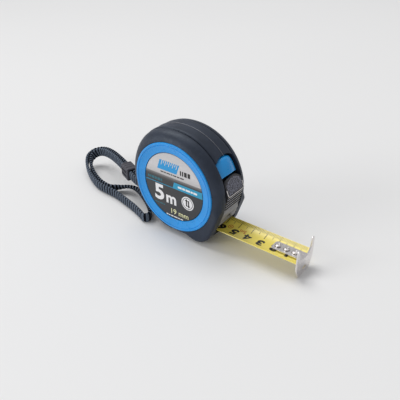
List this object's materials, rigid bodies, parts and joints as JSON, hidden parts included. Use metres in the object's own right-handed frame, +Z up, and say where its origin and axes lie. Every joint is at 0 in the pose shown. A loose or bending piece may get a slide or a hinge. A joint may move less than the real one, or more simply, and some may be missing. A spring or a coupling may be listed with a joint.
{
  "type": "tape measure",
  "caption": "Pocket tape measure: rubber-covered round case with label, push brake, sliding lock, drawn-out concave blade with end hook, belt clip and folded wrist strap.",
  "frame": {"origin": "on the flat base the case stands on, directly below the drum axis, at the middle of the case's thickness", "axes": "+X along the blade as it pulls out, +Z up, -Y out of the labelled side"},
  "size_m": [0.217, 0.0467, 0.0759],
  "materials": {
    "case_plastic": "moulded, matte",
    "grip_rubber": "soft moulded rubber, slight sheen",
    "blue_plastic": "glossy",
    "label_print": "printed film, satin",
    "control_plastic": "fine texture",
    "blade_paint": "gloss lacquer over print",
    "bright_steel": "nickel plated",
    "spring_steel": "bare spring steel",
    "clip_steel": "brushed, plated",
    "strap_braid": "ribbed flat braid"
  },
  "bodies": {
    "case": {"case_shell_near": "case_plastic", "case_shell_far": "case_plastic", "rubber_grip_near": "grip_rubber", "rubber_grip_far": "grip_rubber", "trim_ring_near": "blue_plastic", "trim_ring_far": "blue_plastic", "label_near": "label_print", "centre_post": "case_plastic", "case_screw_1": "bright_steel", "case_screw_2": "bright_steel", "case_screw_3": "bright_steel", "mouth_lip": "control_plastic", "button_spring": "spring_steel", "power_spring": "spring_steel", "wrist_strap": "strap_braid", "strap_pin": "bright_steel", "belt_clip": "clip_steel", "clip_screw": "bright_steel"},
    "drum": {"reel": "control_plastic", "tape_coil": "blade_paint"},
    "blade": {"blade": "blade_paint", "blade_inner": "blade_paint", "rivet_1": "bright_steel", "rivet_2": "bright_steel", "rivet_3": "bright_steel"},
    "hook": {"end_hook": "bright_steel"},
    "lock": {"lock_slider": "control_plastic", "lock_shoe": "control_plastic"},
    "button": {"push_button": "blue_plastic"},
    "bottom_stop": {"bottom_stop": "control_plastic"},
    "stopper": {"strap_stopper": "control_plastic"}
  },
  "joints": [
    {"name": "drum_spin", "type": "hinge", "parent": "case", "child": "drum", "pos_m": [0, 0, 0.037], "axis": [0, -1, 0], "range_deg": [-140, 0], "deforming": ["power_spring"]},
    {"name": "blade_slide", "type": "slide", "parent": "case", "child": "blade", "axis": [1, 0, 0], "range_m": [-0.055, 0], "deforming": ["blade_inner"]},
    {"name": "hook_float", "type": "slide", "parent": "blade", "child": "hook", "axis": [1, 0, 0], "range_m": [0, 0.001]},
    {"name": "lock_slide", "type": "slide", "parent": "case", "child": "lock", "axis": [0, 0, -1], "range_m": [0, 0.0032]},
    {"name": "button_press", "type": "slide", "parent": "case", "child": "button", "axis": [-0.8776, 0, -0.4794], "range_m": [0, 0.002], "stiffness_N_per_m": 300, "deforming": ["button_spring"]},
    {"name": "bottom_stop_press", "type": "slide", "parent": "case", "child": "bottom_stop", "axis": [0, 0, 1], "range_m": [0, 0.0015], "stiffness_N_per_m": 300},
    {"name": "stopper_slide", "type": "slide", "parent": "case", "child": "stopper", "axis": [-0.9219, 0.3875, 0], "range_m": [-0.004, 0.004]}
  ],
  "couplings": [
    {"joint": "blade_slide", "follows": "drum_spin", "m_per_rad": 0.0225}
  ]
}
